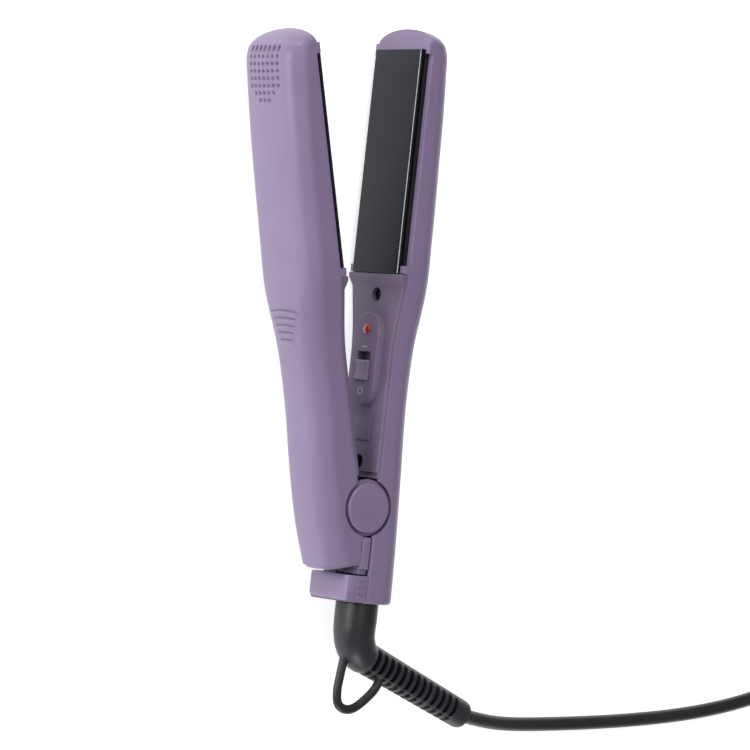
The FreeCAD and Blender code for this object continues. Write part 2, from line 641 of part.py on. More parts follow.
def rounded_wire(points):
    """Straight runs joined by tangent arcs, with the radius of each arc."""
    edges, radii, last = [], [], points[0]
    for before, corner, after in zip(points, points[1:], points[2:]):
        back, ahead = before - corner, after - corner
        half_turn = (math.pi - back.getAngle(ahead)) / 2
        setback = 0.45 * min(back.Length, ahead.Length)
        radii.append(setback / math.tan(half_turn))
        back.normalize()
        ahead.normalize()
        start, end = corner + back * setback, corner + ahead * setback
        bisector = (back + ahead).normalize()
        middle = corner + bisector * (radii[-1] / math.cos(half_turn) - radii[-1])
        edges.append(Part.LineSegment(last, start).toShape())
        edges.append(Part.Arc(start, middle, end).toShape())
        last = end
    edges.append(Part.LineSegment(last, points[-1]).toShape())
    return Part.Wire(edges), radii


def tube(points):
    """A round cord along the points, and its length."""
    wire, radii = rounded_wire(points)
    section = Part.Wire(Part.makeCircle(number("cord_width / 2"), points[0], points[1] - points[0]))
    solid = wire.makePipeShell([section], True, True)
    share = solid.Volume / (math.pi * number("cord_width / 2") ** 2 * wire.Length)
    print(f"cord length {wire.Length:.1f}, volume share {share:.4f}, radii {[round(r) for r in radii]}")
    return solid


COIL_HALF = "coil_layers * cord_width / 2"
coil_place = table_place(*COIL_CENTRE, number("coil_base"))


def coil_ring():
    """The coiled cord's outer shape, one closed ring."""
    ring = {"Height": "coil_rows * cord_width"}
    return cut_by(primitive("Cylinder", coil_place, Radius=f"coil_radius + {COIL_HALF}", **ring),
                  primitive("Cylinder", coil_place, Radius=f"coil_radius - {COIL_HALF}", **ring))


ring = keep(coil_ring(), "cord_coil")
tie_place = coil_place + FreeCAD.Vector(number(f"coil_radius - {COIL_HALF} - tie_thickness"),
                                        -number("tie_width") / 2, -number("tie_thickness"))
tie_block = primitive("Box", tie_place, Length=f"2 * {COIL_HALF} + 2 * tie_thickness",
                      Width="tie_width", Height="coil_rows * cord_width + 2 * tie_thickness")
tie = keep(cut_by(tie_block, coil_ring()), "cord_tie")

doc.recompute()
relief_tip = relief_place(number("relief_length + cord_gap"))
soft_part("power_cord", tube([relief_tip] + [table_place(*point) for point in CORD_POINTS]).cut(ring.Shape))
tail = tube([table_place(*point) for point in TAIL_POINTS])
soft_part("cord_tail", tail.cut(ring.Shape).cut(tie.Shape))


def plug():
    """A moulded plug with two flat blades, lying past the end of the cord."""
    middle = table_place(*PLUG_PLACE, number("plug_depth / 2 + cord_gap / 2"))
    corner = middle - FreeCAD.Vector(number("plug_width / 2"), 0, number("plug_depth / 2"))
    block = primitive("Box", corner, Length="plug_width", Width="plug_length", Height="plug_depth")
    rounded = keep(doc.addObject("Part::Fillet", "plug_body"), "plug_body")
    rounded.Base = block
    doc.recompute()
    upright = [index for index, edge in enumerate(block.Shape.Edges, 1)
               if abs(edge.tangentAt(0).y) > 0.9]
    rounded.Edges = [(index, number("plug_depth / 4"), number("plug_depth / 4")) for index in upright]
    blades = []
    for sign in (-1, 1):
        place = middle + FreeCAD.Vector((sign * number("blade_spacing") - number("blade_thickness")) / 2,
                                        number("plug_length"), -number("blade_width / 2"))
        blades.append(primitive("Box", place, Length="blade_thickness", Width="blade_length",
                                Height="blade_width"))
    keep(fused(blades), "plug_blades")


plug()
doc.recompute()

# ---------------------------------------------------------------- place, check and export

CORD_NODES = {"swivel_neck", "strain_relief", "hanging_loop", "power_cord", "cord_tail", "cord_coil",
              "cord_tie", "plug_body", "plug_blades"}
box = FreeCAD.BoundBox()
for part in PARTS:
    if part.Label not in CORD_NODES:
        box.add(part.Shape.BoundBox)
shift = FreeCAD.Placement(FreeCAD.Vector(-box.Center.x, -box.Center.y, -box.ZMin), FreeCAD.Rotation())
for part in PARTS:
    part.Placement = shift.multiply(part.Placement)
doc.recompute()
print(f"hinge axis at {shift.Base.x:.3f}, {shift.Base.y:.3f}, middle plane at {shift.Base.z:.3f}")

for thing in doc.Objects:
    assert not {"Invalid", "Error"} & set(thing.State), f"{thing.Label} failed: {thing.State}"
for part in PARTS:
    assert not part.Shape.isNull() and part.Shape.isValid(), f"{part.Label} isn't a sound shape"
    part.Shape.exportStep(f"parts/{part.Label}.step")
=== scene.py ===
# %% [markdown]
# # A hair straightener in numpy surfaces
# The real object is two long plastic arms on a hinge, with heated plates that face each other.
# The imported model gives the places and the joints.  This file gives the looks: each piece it
# builds is a surface worked out as a whole array, and every piece gets a node-built material.

# %% Frame and measures
import json
import math

import bmesh
import bpy
import numpy as np
from mathutils import Matrix, Vector


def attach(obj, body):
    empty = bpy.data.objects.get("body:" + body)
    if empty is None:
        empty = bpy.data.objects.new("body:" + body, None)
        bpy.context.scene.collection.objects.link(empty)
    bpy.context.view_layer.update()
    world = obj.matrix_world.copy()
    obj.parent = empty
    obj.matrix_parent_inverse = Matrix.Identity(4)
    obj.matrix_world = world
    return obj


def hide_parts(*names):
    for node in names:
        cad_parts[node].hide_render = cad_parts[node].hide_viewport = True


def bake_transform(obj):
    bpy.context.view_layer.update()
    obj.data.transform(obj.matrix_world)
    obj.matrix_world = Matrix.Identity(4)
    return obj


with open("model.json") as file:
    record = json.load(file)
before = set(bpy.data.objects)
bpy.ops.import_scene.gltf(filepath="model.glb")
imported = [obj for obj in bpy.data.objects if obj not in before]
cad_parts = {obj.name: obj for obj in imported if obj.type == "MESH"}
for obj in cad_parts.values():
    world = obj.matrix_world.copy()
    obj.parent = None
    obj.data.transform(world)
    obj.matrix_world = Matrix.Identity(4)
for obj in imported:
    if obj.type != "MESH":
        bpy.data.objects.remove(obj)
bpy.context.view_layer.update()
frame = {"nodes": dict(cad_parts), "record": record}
joints = {joint["name"]: joint for joint in frame["record"]["behaviour"]["joints"]}
PIVOT = np.array(joints["lever_hinge"]["pos_m"])
OPENING = math.radians(-joints["lever_hinge"]["range_deg"][0])
MM = 0.001
MAIN, LEVER = 1, -1
print("hinge axis at", PIVOT.round(4), "opening", round(math.degrees(OPENING), 1))

# %% [markdown]
# ## Camera, light and table
# The object lies on its side and is seen from above, a little from the left.  A long lens far
# away keeps the two arms nearly parallel-sided.  The camera's own axes come from two angles,
# so it can be rolled, and it aims at a point a little past the near hinge disc.

# %% Camera, light and table
YAW, PITCH = math.radians(-37.5), math.radians(3.7)
CAMERA_DISTANCE, LENS, SENSOR = 2.1715, 206.4, 36.0


def lying(upright):
    """A direction given with the arms upright, turned so that the arms lie along +Y."""
    return Vector((upright[0], upright[2], -upright[1]))


right = lying((math.cos(YAW), math.sin(YAW), 0))
up = lying((-math.sin(PITCH) * math.sin(YAW), math.sin(PITCH) * math.cos(YAW), math.cos(PITCH)))
back = lying((math.cos(PITCH) * math.sin(YAW), -math.cos(PITCH) * math.cos(YAW), math.sin(PITCH)))
near_disc = Vector(PIVOT) + Vector((0, 0, 16.5 * MM))
aim = near_disc + right * 3.28 * MM + up * 67.2 * MM
camera = bpy.data.objects.new("camera", bpy.data.cameras.new("camera"))
camera.data.lens, camera.data.sensor_width = LENS, SENSOR
camera.data.clip_end = 20
camera.matrix_world = Matrix.Translation(aim + back * CAMERA_DISTANCE) @ Matrix(
    (right, up, back)).transposed().to_4x4()
bpy.context.scene.collection.objects.link(camera)
bpy.context.scene.camera = camera
bpy.context.scene.view_settings.view_transform = "Standard"


def soft_light(name, place, energy, size):
    """A square area light that points at the middle of the object."""
    lamp = bpy.data.objects.new(name, bpy.data.lights.new(name, "AREA"))
    lamp.data.energy, lamp.data.size = energy, size
    lamp.location = place
    lamp.rotation_euler = (-Vector(place)).to_track_quat("-Z", "Y").to_euler()
    bpy.context.scene.collection.objects.link(lamp)


soft_light("left_softbox", (-1.9, 0.3, 0.62), 16, 0.8)
soft_light("top_softbox", (-0.3, 0.6, 2.2), 11, 1.6)
soft_light("end_softbox", (-0.5, -1.9, 0.7), 13, 0.9)
soft_light("tip_softbox", (-0.7, 1.7, 0.9), 16, 0.7)
world = bpy.data.worlds.new("studio")
world.use_nodes = True
world.node_tree.nodes["Background"].inputs["Color"].default_value = (1, 1, 1, 1)
world.node_tree.nodes["Background"].inputs["Strength"].default_value = 0.33
bpy.context.scene.world = world
print("lights", len(bpy.data.lights), "lens", LENS, "mm")

# %% [markdown]
# ## Shader maths as Python
# A material's pattern is arithmetic on sockets.  Wrapping a socket in a small class lets the
# arithmetic be written as an expression instead of a list of nodes and links.

# %% Shader maths as Python
class Wire:
    """An output socket with arithmetic."""

    def __init__(self, finish, socket):
        self.finish, self.socket = finish, socket

    def maths(self, operation, *values):
        return self.finish.node("ShaderNodeMath", {"operation": operation}, *values)[0]

    def __add__(self, other):
        return self.maths("ADD", self, other)

    def __sub__(self, other):
        return self.maths("SUBTRACT", self, other)

    def __rsub__(self, other):
        return self.maths("SUBTRACT", other, self)

    def __mul__(self, other):
        return self.maths("MULTIPLY", self, other)

    __radd__, __rmul__ = __add__, __mul__

    def band(self, low, high):
        """0 below low, 1 above high, and smooth between."""
        settings = {"interpolation_type": "SMOOTHSTEP", "clamp": True}
        return self.finish.node("ShaderNodeMapRange", settings, self, low, high)[0]


class Finish:
    """A node-built material around one Principled shader."""

    def __init__(self, name, **constants):
        self.material = bpy.data.materials.new(name)
        self.material.use_nodes = True
        self.tree = self.material.node_tree
        self.shader = self.tree.nodes["Principled BSDF"]
        for socket, value in constants.items():
            self.set(socket.replace("_", " "), value)

    def join(self, target, value):
        """Link a wire to an input socket, or store a plain number or colour in it."""
        if isinstance(value, Wire):
            self.tree.links.new(value.socket, target)
        else:
            target.default_value = (*value, 1) if isinstance(value, tuple) else value

    def set(self, socket, value):
        """Feed one of the shader's own sockets."""
        self.join(self.shader.inputs[socket], value)

    def node(self, kind, settings, *values, **named):
        """Any node: its settings, then its inputs by place or by name.  Gives its outputs."""
        made = self.tree.nodes.new(kind)
        for key, value in settings.items():
            setattr(made, key, value)
        for place, value in enumerate(values):
            self.join(made.inputs[place], value)
        for label, value in named.items():
            self.join(made.inputs[label.replace("_", " ")], value)
        return [Wire(self, output) for output in made.outputs]

    def noise(self, scale, detail=3.0, roughness=0.55):
        """Noise in the piece's own coordinates, so that it stays on the piece as it moves."""
        where = self.node("ShaderNodeTexCoord", {})[3]
        return self.node("ShaderNodeTexNoise", {}, Vector=where, Scale=scale, Detail=detail,
                         Roughness=roughness)[0]

    def attribute(self, name):
        """A number kept on the mesh's points; a mesh without it reads as 0."""
        return self.node("ShaderNodeAttribute", {"attribute_name": name})[2]

    def blend(self, mask, dark, light):
        """A colour between two colours."""
        mixed = self.node("ShaderNodeMix", {"data_type": "RGBA"})
        mixing = mixed[0].socket.node
        for place, value in ((0, mask), (6, dark), (7, light)):
            self.join(mixing.inputs[place], value)
        return mixed[2]

    def bump(self, height, strength, distance):
        """Tilt the normal by a height field; distance is the real depth in metres."""
        self.set("Normal", self.node("ShaderNodeBump", {}, Strength=strength, Distance=distance,
                                     Height=height)[0])


# %% [markdown]
# ## Finishes
# The arms are satin mauve plastic: nearly smooth outside, spark-grained on the inner faces.
# Each finish has a base colour that wanders a little, a roughness that wanders with it, and
# a bump at the size of the real grain.  Small pits and slots hold shade that a soft studio
# light would wash out, so a point's attribute named hollow darkens the colour there.

# %% Finishes
def moulded(name, colour, roughness, grain_scale, grain_depth, wander, hollow_shade=0.0,
            **constants):
    """Slow colour drift, fine grain, and painted shade where the attribute hollow is 1."""
    finish = Finish(name, **constants)
    drift, grain = finish.noise(28.0, 2.0), finish.noise(grain_scale, 2.0)
    darker = tuple(c * (1 - wander) for c in colour)
    lighter = tuple(min(1.0, c * (1 + wander)) for c in colour)
    colours = finish.blend(drift.band(0.3, 0.7), darker, lighter)
    # painted shade: points marked as hollow get a darker copy of the colour
    if hollow_shade:
        shaded = tuple(c * (1 - hollow_shade) for c in colour)
        colours = finish.blend(finish.attribute("hollow"), colours, shaded)
    finish.set("Base Color", colours)
    finish.set("Roughness", (grain - 0.5) * 0.16 + drift * 0.06 + (roughness - 0.03))
    finish.bump(grain, 0.35, grain_depth)
    return finish


MAUVE = (0.205, 0.152, 0.270)
satin = moulded("satin_mauve", MAUVE, 0.40, 2600.0, 0.00003, 0.03, 0.55, Coat_Weight=0.12,
                Coat_Roughness=0.35, Specular_IOR_Level=0.55)
grained = moulded("grained_mauve", (0.150, 0.112, 0.185), 0.55, 1500.0, 0.00010, 0.12)
flat_mauve = moulded("matte_mauve", (0.150, 0.112, 0.188), 0.50, 2400.0, 0.00003, 0.03)
thumb = moulded("thumb_mauve", (0.225, 0.175, 0.262), 0.42, 1500.0, 0.00008, 0.05)
mark = moulded("mark_mauve", (0.42, 0.34, 0.47), 0.5, 1500.0, 0.00004, 0.04)
black = moulded("black_moulding", (0.006, 0.006, 0.008), 0.34, 1800.0, 0.00002, 0.15)
rubber = moulded("charcoal_rubber", (0.009, 0.010, 0.014), 0.40, 1100.0, 0.00022, 0.35, 0.9,
                 Specular_IOR_Level=0.55)
sheath = moulded("cord_sheath", (0.010, 0.0105, 0.013), 0.36, 2000.0, 0.00003, 0.15)
board_green = moulded("board_green", (0.02, 0.13, 0.06), 0.35, 900.0, 0.00003, 0.2)
heater_film = moulded("heater_film", (0.62, 0.60, 0.52), 0.4, 900.0, 0.00003, 0.1)
sleeving = moulded("lead_sleeving", (0.60, 0.58, 0.52), 0.6, 2200.0, 0.00006, 0.1)
# painted shade: near-black steel that stands for the shade deep in the screw recesses
dark_steel = moulded("steel_in_painted_shade", (0.020, 0.020, 0.024), 0.35, 900.0, 0.00002, 0.1,
                     Metallic=1.0)
steel = moulded("bright_steel", (0.50, 0.50, 0.51), 0.28, 900.0, 0.00002, 0.08, Metallic=1.0)
brass = moulded("plated_brass", (0.66, 0.52, 0.26), 0.24, 900.0, 0.00001, 0.06, Metallic=1.0)
strap = moulded("woven_strap", (0.014, 0.014, 0.016), 0.8, 2600.0, 0.0002, 0.3)
red_lens = moulded("red_lens", (0.42, 0.012, 0.006), 0.10, 300.0, 0.00001, 0.15, Coat_Weight=1.0,
                   Coat_Roughness=0.04)


def coated_plate():
    """Gloss ceramic coating, with light metal where the edge attribute is 1: a painted highlight.
    """
    finish = Finish("ceramic_plate", Coat_Roughness=0.06, Specular_IOR_Level=0.22)
    edge_highlight = finish.attribute("edge_highlight")
    fleck = finish.noise(5200.0, 1.0).band(0.56, 0.72)
    cloud = finish.noise(22.0, 3.0)
    coat = finish.blend(cloud.band(0.25, 0.75), (0.003, 0.005, 0.010), (0.006, 0.009, 0.018))
    coat = finish.blend(fleck * 0.5, coat, (0.022, 0.026, 0.036))
    # painted highlight: light metal colour on the long edges of the plate
    finish.set("Base Color", finish.blend(edge_highlight, coat, (0.62, 0.58, 0.56)))
    finish.set("Metallic", edge_highlight)
    finish.set("Coat Weight", (1.0 - edge_highlight) * 0.1)
    finish.set("Roughness", edge_highlight * 0.10 + cloud * 0.08 + 0.12)
    finish.bump(finish.noise(1500.0, 2.0), 0.15, 0.00001)
    return finish


plate_finish = coated_plate()
table_top = Finish("white_table", Base_Color=(0.93, 0.93, 0.93), Roughness=0.7,
                   Emission_Color=(1.0, 1.0, 1.0), Emission_Strength=0.60)
print("finishes", len(bpy.data.materials))

# %% [markdown]
# ## From arrays to pieces
# A surface arrives as a grid of points with rows along the piece.  One helper turns it into a mesh,
# closes it and points its faces outward; another gives it its finish, the body it rides on and the
# plain solids that it stands for.

# %% From arrays to pieces
def on_arm(points, side):
    """Arm measures (h outward, l along, w across) in millimetres, turned into metres."""
    h, along, across = np.moveaxis(np.asarray(points, float), -1, 0)
    cosine, sine = math.cos(OPENING / 2), math.sin(OPENING / 2)
    x = side * (h * cosine + along * sine)
    y = along * cosine - h * sine
    return np.stack([x, y, across], -1) * MM + PIVOT


def beside_hinge(points):
    """Millimetres beside the hinge axis and above its middle plane, turned into metres."""
    return np.asarray(points, float) * MM + PIVOT


SHARP = math.radians(34)


def surface(name, points, hollow=None):
    """A mesh through a grid of points: columns close on themselves, the end rows are capped."""
    rows, columns = points.shape[:2]
    row, column = np.meshgrid(np.arange(rows - 1), np.arange(columns), indexing="ij")
    after = (column + 1) % columns
    faces = np.stack([row * columns + column, row * columns + after,
                      (row + 1) * columns + after, (row + 1) * columns + column], -1).reshape(-1, 4)
    ends = [list(range(columns)), list(range((rows - 1) * columns, rows * columns))]
    mesh = bpy.data.meshes.new(name)
    mesh.from_pydata(points.reshape(-1, 3).tolist(), [], faces.tolist() + ends)
    if hollow is not None:
        level = mesh.attributes.new("hollow", "FLOAT", "POINT")
        level.data.foreach_set("value", np.clip(hollow, 0, 1).ravel().astype(np.float32))
    tidy(mesh)
    return mesh


def shade(mesh):
    """Smooth shading, except across edges that turn by more than the sharp angle."""
    mesh.shade_smooth()
    mesh.set_sharp_from_angle(angle=SHARP)


def tidy(mesh):
    """Merge doubled points, drop flat slivers, turn faces outward and shade the mesh."""
    work = bmesh.new()
    work.from_mesh(mesh)
    bmesh.ops.remove_doubles(work, verts=work.verts, dist=2e-6)
    bmesh.ops.dissolve_degenerate(work, edges=work.edges, dist=1e-6)
    bmesh.ops.recalc_face_normals(work, faces=work.faces)
    work.to_mesh(mesh)
    work.free()
    shade(mesh)


def joined_meshes(name, meshes):
    """One mesh that holds several closed ones."""
    work = bmesh.new()
    for mesh in meshes:
        work.from_mesh(mesh)
    mesh = bpy.data.meshes.new(name)
    work.to_mesh(mesh)
    work.free()
    shade(mesh)
    return mesh


record = frame["record"]
body_with = {node: body for body, nodes in record["behaviour"]["bodies"].items() for node in nodes}
slot_of = {part["node"]: part["material_slot"] for part in record["subparts"]}


def piece(name, mesh, finish, node, replaces=True, rides=True):
    """A finished piece that rides with a node and usually stands for it."""
    made = bpy.data.objects.new(name, mesh)
    bpy.context.scene.collection.objects.link(made)
    made.data.materials.clear()
    made.data.materials.append(finish.material)
    if rides:
        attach(made, body_with[node])
    if replaces:
        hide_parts(node)
    return made


def carve(made, *cutters):
    """Cut closed meshes out of a piece and keep the result as its mesh."""
    for cutter in cutters:
        tool = bpy.data.objects.new("cutter", cutter)
        bpy.context.scene.collection.objects.link(tool)
        cut = made.modifiers.new("cut", "BOOLEAN")
        cut.object, cut.operation, cut.solver = tool, "DIFFERENCE", "EXACT"
        shown = bpy.context.evaluated_depsgraph_get()
        result = bpy.data.meshes.new_from_object(made.evaluated_get(shown))
        made.modifiers.clear()
        made.data = result
        bpy.data.objects.remove(tool)
    made.data.set_sharp_from_angle(angle=SHARP)


def rounded_loop(low_x, low_y, high_x, high_y, radius, steps=5):
    """A rectangle with round corners: four centres, each with a quarter turn about it."""
    turn = np.linspace(0, math.pi / 2, steps)
    centres = [(high_x - radius, high_y - radius), (low_x + radius, high_y - radius),
               (low_x + radius, low_y + radius), (high_x - radius, low_y + radius)]
    quarters = [np.stack([cx + radius * np.cos(turn + k * math.pi / 2),
                          cy + radius * np.sin(turn + k * math.pi / 2)], -1)
                for k, (cx, cy) in enumerate(centres)]
    return np.concatenate(quarters)


def block(name, low, high, radius, side, order="hlw"):
    """A rounded block between corners (h, l, w): outlines stacked along order's last axis."""
    fillet = np.linspace(0, math.pi / 2, 4)
    inset = radius * (1 - np.sin(fillet))
    reach = radius * (1 - np.cos(fillet))
    axes = ["hlw".index(letter) for letter in order]
    low, high = np.array(low, float)[axes], np.array(high, float)[axes]
    depth = np.concatenate([low[2] + reach, (high[2] - reach)[::-1]])
    loops = []
    for level, pull in zip(depth, np.concatenate([inset, inset[::-1]])):
        loop = rounded_loop(*(low[:2] + pull), *(high[:2] - pull), max(radius - pull, 0.05))
        loops.append(np.column_stack([loop, np.full(len(loop), level)]))
    points = np.array(loops)[:, :, [order.index(letter) for letter in "hlw"]]
    return surface(name, on_arm(points, side))


def eased(places, values, window):
    """Straight lines through the stations, rounded by averaging over a window."""
    offsets = np.linspace(-0.5, 0.5, 13) * window

    def rounded(place):
        return np.interp(np.asarray(place, float)[..., None] + offsets, places, values).mean(-1)

    return rounded


# %% [markdown]
# ## Back shells
# Each arm's outer half is one long moulding: a flat-sided arch whose height and width
# change along the arm, a slightly crowned face, a domed tip, vent dimples near the tip and
# grip ridges behind the jaw.  A station list gives height and width, and the section is swept
# through them.  The dimples and ridges are heights added to the arch, so they are geometry.

# %% Back shells
PLATE_LOW, PLATE_HIGH, COLLAR_LOW, COLLAR_HIGH, TIP = 119.0, 234.0, 231.6, 237.0, 244.5
RIM, CHEEK, COLLAR_RIM, TIP_RIM = 5.0, 1.5, 2.6, 4.2
JAW_HALF, GRIP_HALF = 22.5, 16.5
CORNER, WALL, JAW_WALL, CROWN, RIM_EDGE = 9.0, 2.0, 2.9, 3.0, 0.5
CROWN_DROP = 1.8  # how far the corners sit below the stations, to make room for the crown
DOME_START, DOME_END, DOME_LOW = 229.0, 245.2, 4.0
TAIL = {MAIN: -48.4, LEVER: -25.4}
TAIL_ROUND, TAIL_PLATE = 1.8, -44.5
STRIP_RISE, DISC_GROOVE = 1.5, 14.65
INSIDE_POINTS = 40

half_width = eased([-50, 86, 118, 260], [GRIP_HALF, GRIP_HALF, JAW_HALF, JAW_HALF], 18)
along_stations = [0, 14, 31, 46, 61, 80, 90, 101, 111, 131, 152, 182, 203, 233, 250]
outer_height = {
    MAIN: eased([-47, -22] + along_stations,
                [25.8, 25.3, 24.4, 23.8, 22.9, 22.1, 21.9, 22.6, 23.2, 23.6, 23.6, 22.9, 22.8,
                 22.0, 21.6, 19.9, 19.5], 16),
    LEVER: eased([-27, -15] + along_stations,
                 [25.2, 27.0, 27.7, 27.6, 27.0, 26.0, 25.5, 25.8, 26.0, 26.2, 26.6, 25.8, 25.2,
                  24.4, 23.4, 21.2, 20.6], 16),
}


def tip_shrink(place, start, end):
    """Quarter ellipse: 1 before start, falling to 0 at end."""
    share = np.clip((place - start) / (end - start), 0, 1)
    return np.sqrt(np.clip(1 - share ** 2, 0, 1))


def arch(rim, height, half, corner, top_steps, crown, edge=0.0):
    """Points (h, w) up one side, round a corner and over the top, then down the other side.

    The crown lifts h by crown * (1 - (w / half)^2), fading to nothing at the rim.
    """
    turn = np.linspace(0, math.pi / 2, 11)[1:-1]
    rise = (height - corner - rim) * np.linspace(0, 1, 6)[1:]
    side_h = rim + np.concatenate([[0, 0.3 * edge, edge], np.maximum(rise, 1.01 * edge)])
    side_w = half - np.concatenate([[edge, 0.3 * edge], np.zeros(6)])
    corner_h = height - corner + corner * np.sin(turn)
    corner_w = half - corner + corner * np.cos(turn)
    top_h = np.full(top_steps, height)
    top_w = np.linspace(1, -1, top_steps) * (half - corner)
    h = np.concatenate([side_h, corner_h, top_h, corner_h[::-1], side_h[::-1]])
    w = np.concatenate([side_w, corner_w, top_w, -corner_w[::-1], -side_w[::-1]])
    bulge = np.clip(1 - (w / max(half, 0.01)) ** 2, 0, 1)
    return h + crown * bulge * np.clip((h - rim) / 6.0, 0, 1), w


def vent_dimples(place, across):
    """Depth of a shield of round pits: the sum of depth * exp(-r^4), with a long first row."""
    pitch, radius, first_row = 3.62, 0.95, 236.0
    total = np.zeros_like(place)
    for row, reach in enumerate([3, 3, 3, 3, 3, 3, 2, 1]):
        stretch, depth = (1.6, 1.5) if row == 0 else (1.0, 0.95)
        along = ((place - (first_row - row * pitch)) / (radius * stretch)) ** 2
        for column in range(-reach, reach + 1):
            away = along + ((across - column * pitch) / radius) ** 2
            total += depth * np.exp(-away ** 2)
    return total


def grip_ridges(place, across):
    """Height of five curved ridges: steep towards the tip, soft behind, shorter to the hinge."""
    pitch, first_ridge, bow, height = 3.75, 104.6, 0.010, 0.8
    total = np.zeros_like(place)
    for ridge, reach in enumerate([11.0, 9.6, 8.2, 6.8, 5.4]):
        away = place - (first_ridge - pitch * ridge) + bow * across ** 2
        flank = np.where(away > 0, 0.45, 2.0)
        ends = 1 + np.exp((np.abs(across) - reach) / 0.35)
        total += height * np.exp(-(away / flank) ** 2) / ends
    return total


def shell_rim(place, side):
    """Height of the rim: level along the arm, with a cheek and a collar at the plate's ends.

    The lever arm's tail is cut so that it meets the main arm's strip when the arms are open.
    """
    cheek = (place > PLATE_LOW) & (np.abs(place - 121.2) < 2.2)
    rim = np.where(cheek, CHEEK, RIM)
    rim = np.where(place > COLLAR_LOW, COLLAR_RIM, rim)
    rim = np.where(place >= COLLAR_HIGH, TIP_RIM, rim)
    if side == LEVER:
        stop = STRIP_RISE / math.cos(OPENING) + np.abs(place) * math.tan(OPENING)
        rim = np.where(place < -14.6, stop + 0.05, rim)
    return rim


def shell_places(side):
    """Places along the arm, closer together where the surface has detail, and each one's size.

    The main arm's tail is closed by sections that grow from a point and then round its edge.
    """
    tip_turn = np.linspace(0, math.pi / 2, 16)[1:]
    place = np.concatenate([
        np.arange(TAIL[side], 84, 2.2), np.arange(84, 107, 0.42), np.arange(107, 118.9, 1.6),
        [118.99, 119.0], np.arange(119.6, 123.4, 0.8), [123.39, 123.41],
        np.arange(124.5, 204, 2.4), np.arange(204, 231.5, 0.45), [231.59, 231.61],
        np.arange(232.0, 233.9, 0.45), [233.99, 234.0, 234.01], np.arange(234.3, 236.9, 0.4),
        [236.99, 237.0], COLLAR_HIGH + (TIP - COLLAR_HIGH) * np.sin(tip_turn)])
    if side == LEVER:
        return place, np.ones_like(place)
    turn = np.linspace(0, math.pi / 2, 5)
    end_place = TAIL[side] + np.concatenate([np.zeros(3), TAIL_ROUND * (1 - np.cos(turn))])
    end_size = np.concatenate([[0.0, 0.4, 0.8], 1 - 0.11 * (1 - np.sin(turn))])
    rest = place[place > end_place[-1] + 0.5]
    return np.concatenate([end_place, rest]), np.concatenate([end_size, np.ones_like(rest)])


def shell_section(side, l, size, half, top, rim, crown):
    """One closed loop (h, l, w), out over the arch and back under it, and its hollow values: how
    much painted shade each point gets.
    """
    corner = min(CORNER, 0.8 * (top - rim), 0.98 * half) if half > 0.01 else 0.0
    h, w = arch(rim, top, half, corner, 61, crown, min(RIM_EDGE, 0.3 * half))
    hollow = np.zeros_like(h)
    if 203 < l < 241 or 84 < l < 108:
        level = np.full_like(w, l)
        dimples = np.where(np.abs(w) < 13, vent_dimples(level, w), 0)
        ridges = np.where(np.abs(w) < 14, grip_ridges(level, w), 0)
        foot = np.where(np.abs(w) < 14, grip_ridges(level - 0.9, w), 0)
        h = h - np.where(h > rim + 5, dimples - ridges, 0)
        # painted shade: darker in the vent dimples and along the steep foot of each grip ridge
        hollow = np.clip(dimples * 1.2, 0, 1) + np.clip(foot - ridges, 0, 1) * 1.6
    slant = np.zeros_like(h)
    if side == LEVER and l < -18:
        slant = 3.0 * np.clip(1 - (h - rim) / 20, 0, 1) * min(1.0, (-18 - l) / 10)
    outside = np.column_stack([rim + (h - rim) * size, l - slant, w * size])
    inside = np.full((INSIDE_POINTS, 3), (rim, l, 0.0))
    if l < PLATE_HIGH:
        wall = JAW_WALL if l > 116 else WALL
        inner_h, inner_w = arch(rim, top - WALL, half - wall, max(corner - wall, 1.0), 12, crown)
        keep = np.linspace(0, len(inner_h) - 1, INSIDE_POINTS).round().astype(int)[::-1]
        inside[:, 0] = rim + (inner_h[keep] - rim) * size
        inside[:, 1] = (max(l, TAIL_PLATE) if side == MAIN else l) - slant.max()
        inside[:, 2] = inner_w[keep] * size
    elif half > 1:
        inside[:, 2] = np.linspace(RIM_EDGE - half, half - RIM_EDGE, INSIDE_POINTS)
    return np.concatenate([outside, inside]), np.concatenate([hollow, np.zeros(INSIDE_POINTS)])


def back_shell(side):
    """The whole moulding: a section at each place, domed over the tip."""
    place, size = shell_places(side)
    half = half_width(place) * tip_shrink(place, 236.5, TIP)
    drop = CROWN_DROP - 0.1 * (half - GRIP_HALF) / (JAW_HALF - GRIP_HALF)
    dome = tip_shrink(place, DOME_START, DOME_END)
    top = DOME_LOW + (outer_height[side](place) - drop - DOME_LOW) * dome
    rows = zip(place, size, half, top, shell_rim(place, side), CROWN * dome)
    loops, hollows = zip(*(shell_section(side, *row) for row in rows))
    name = "main_shell" if side == MAIN else "lever_shell"
    return surface(name, on_arm(np.array(loops), side), np.array(hollows))


def upright_cylinder(radius, low, high, steps=96):
    """A closed cylinder about the hinge axis, for cutting."""
    turn = np.linspace(0, 2 * math.pi, steps, endpoint=False)
    ring = np.stack([radius * np.cos(turn), radius * np.sin(turn)], -1)
    loops = [np.column_stack([ring, np.full(steps, level)]) for level in (low, high)]
    return surface("cutter", beside_hinge(np.array(loops)))


for arm, side in (("main", MAIN), ("lever", LEVER)):
    shell = piece(f"{arm}_shell", back_shell(side), satin, f"{arm}_back_shell")
    carve(shell, *[upright_cylinder(DISC_GROOVE, *ends) for ends in ((13.2, 20), (-20, -13.2))])
    print(arm, "shell faces", len(shell.data.polygons))

# %% [markdown]
# ## Closed profiles along the arm
# Covers, plates and carriers have one section that keeps its shape along most of the arm.
# Their surface is that section repeated at a list of places, with the section allowed to
# shrink at the ends so that no edge is knife-sharp.

# %% Closed profiles along the arm
def swept(name, places, sections, side):
    """Section k, an array of (h, w), is placed at l = places[k]; the ends are capped."""
    points = np.array([np.column_stack([section[:, 0], np.full(len(section), place), section[:, 1]])
                       for place, section in zip(places, sections)])
    return surface(name, on_arm(points, side))


